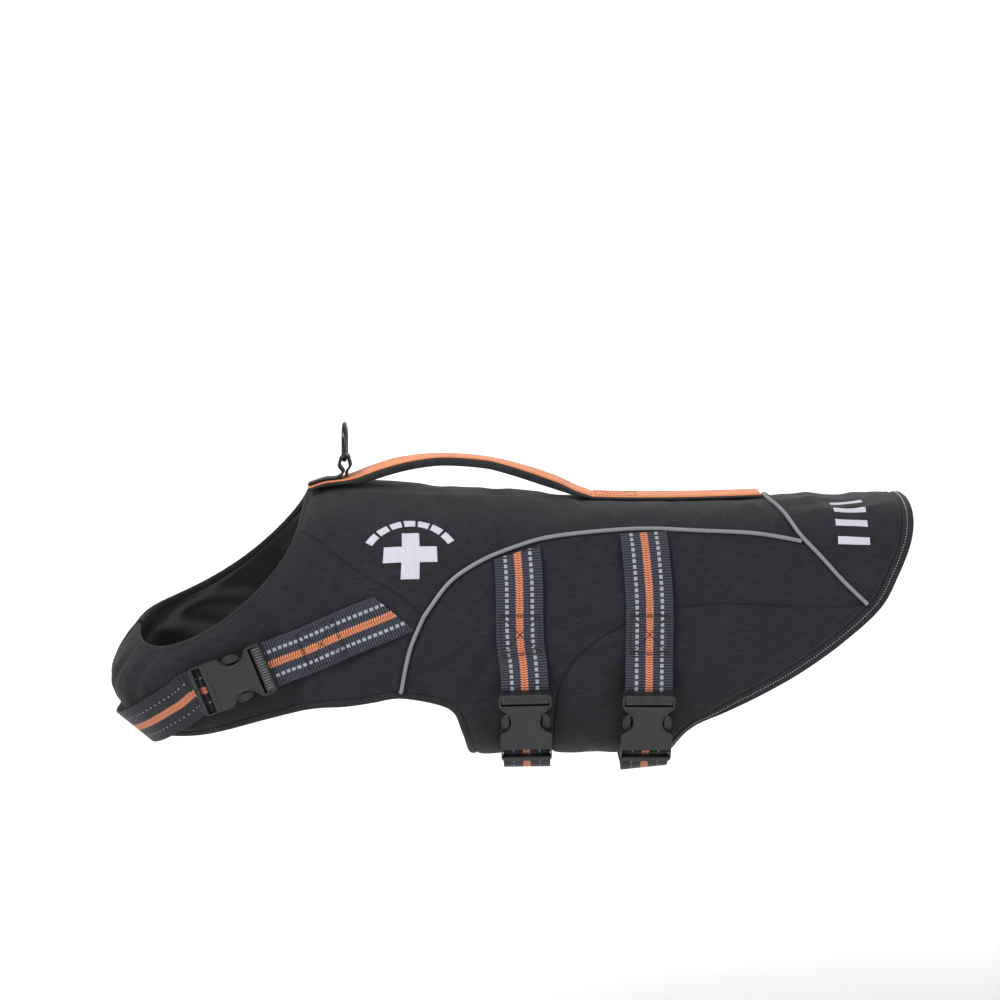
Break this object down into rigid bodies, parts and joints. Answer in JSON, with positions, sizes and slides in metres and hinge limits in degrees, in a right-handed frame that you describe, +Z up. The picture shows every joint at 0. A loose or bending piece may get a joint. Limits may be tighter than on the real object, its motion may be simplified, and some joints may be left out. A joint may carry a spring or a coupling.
{
  "type": "dog life jacket",
  "caption": "Foam-padded dog life jacket, hollow as worn, with a carrying handle, a leash ring and webbing straps closed by side-release buckles.",
  "frame": {"origin": "on the inner face of the back, midway between the two girth straps, where the wearer's back holds the jacket up", "axes": "+X along the back towards the tail, -Y the wearer's left side with the buckles, +Z up"},
  "size_m": [0.6579, 0.206, 0.282],
  "materials": {
    "canvas": "matte woven",
    "binding": "matte tape",
    "piping": "satin",
    "bright_tape": "matte woven",
    "webbing": "ribbed webbing",
    "buckle_plastic": "satin moulded",
    "ring_steel": "dark chrome"
  },
  "bodies": {
    "jacket": {"back_panel": "canvas", "rump_panel": "canvas", "chest_left": "canvas", "chest_right": "canvas", "shoulder_left": "canvas", "shoulder_right": "canvas", "side_upper_left": "canvas", "side_upper_right": "canvas", "side_lower_left": "canvas", "side_lower_right": "canvas", "handle_pad": "canvas", "back_strip_base": "canvas", "neck_binding": "binding", "hem_binding": "binding", "low_binding_left": "binding", "low_binding_right": "binding", "ring_loop": "binding", "piping_left": "piping", "piping_right": "piping", "piping_tail": "piping", "handle_face": "bright_tape", "back_strip_face": "bright_tape", "neck_strap_sewn": "webbing", "neck_strap_free": "webbing", "girth_front_strap_sewn": "webbing", "girth_front_strap_free": "webbing", "girth_rear_strap_sewn": "webbing", "girth_rear_strap_free": "webbing", "neck_buckle_socket": "buckle_plastic", "neck_buckle_plug": "buckle_plastic", "girth_front_buckle_socket": "buckle_plastic", "girth_front_buckle_plug": "buckle_plastic", "girth_rear_buckle_socket": "buckle_plastic", "girth_rear_buckle_plug": "buckle_plastic"},
    "ring": {"leash_ring": "ring_steel"}
  },
  "joints": [
    {"name": "ring_swing", "type": "hinge", "parent": "jacket", "child": "ring", "pos_m": [-0.1975, 0, 0.0385], "axis": [0, 1, 0], "range_deg": [-100, 75]}
  ]
}
